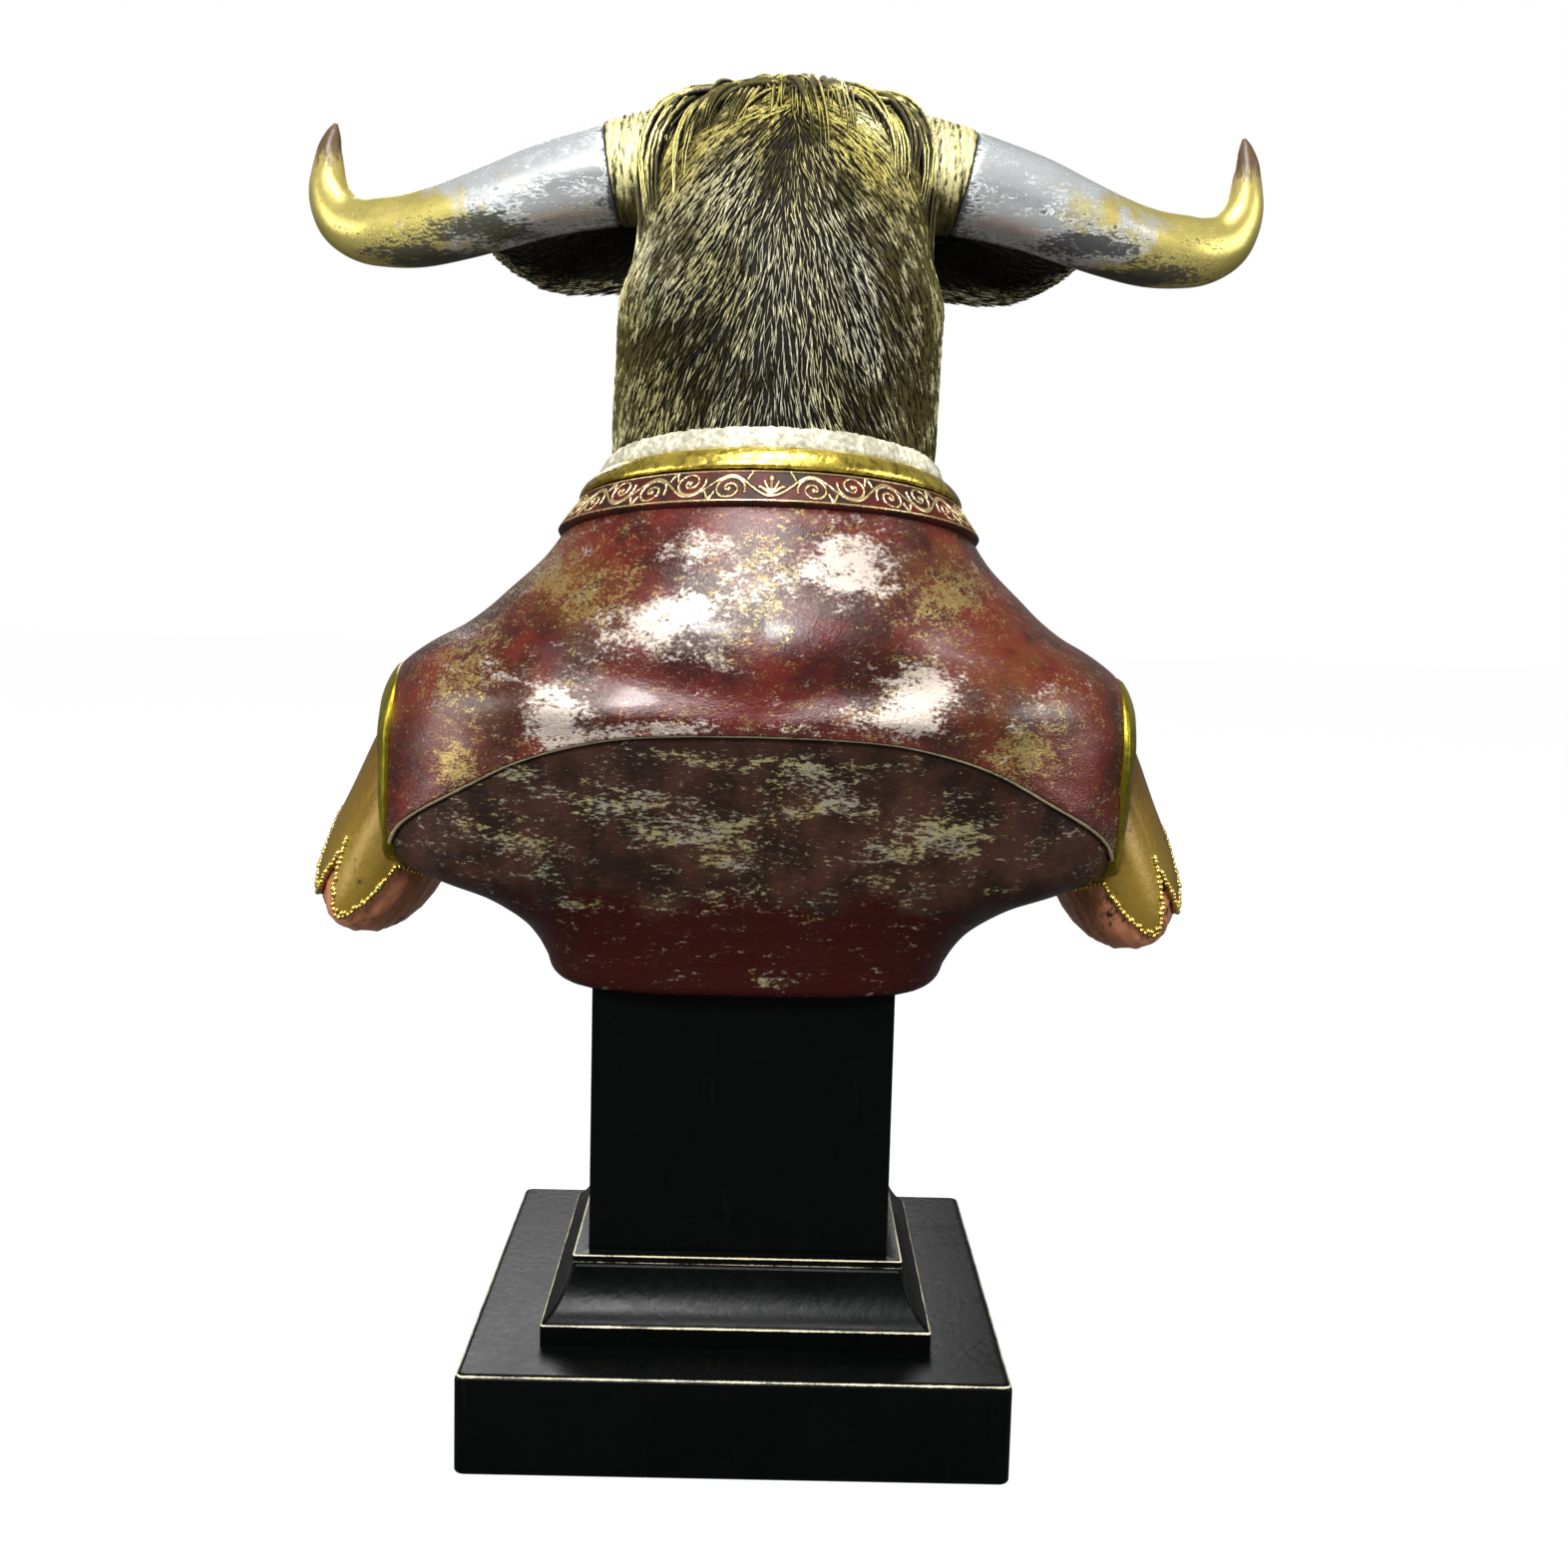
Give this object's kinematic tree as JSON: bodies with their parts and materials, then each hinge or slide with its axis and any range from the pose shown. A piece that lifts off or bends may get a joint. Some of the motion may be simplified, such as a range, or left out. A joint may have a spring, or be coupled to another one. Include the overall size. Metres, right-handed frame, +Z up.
{
  "type": "animal bust sculpture",
  "caption": "Decorative bust of an ox in a buttoned coat with a scrolled collar, wide upturned horns and fur, on a square column and slab plinth.",
  "frame": {"origin": "centre of the slab's underside", "axes": "+Z up along the column; the ox looks along -Y, so the pictured back faces +Y; +X is the ox's left"},
  "size_m": [0.3889, 0.2701, 0.5198],
  "materials": {
    "plinth_black": "near-black satin lacquer on resin, worn pale at the edges",
    "painted_resin": "painted resin: maroon coat and antique gold fur, dry brushed with silver and pale gold",
    "horn_silver": "painted resin: distressed silver running into antique gold, with dark tips"
  },
  "bodies": {
    "root": {"plinth_slab": "plinth_black", "plinth_column": "plinth_black", "ox_bust": "painted_resin", "left_horn": "horn_silver", "right_horn": "horn_silver"}
  },
  "joints": []
}
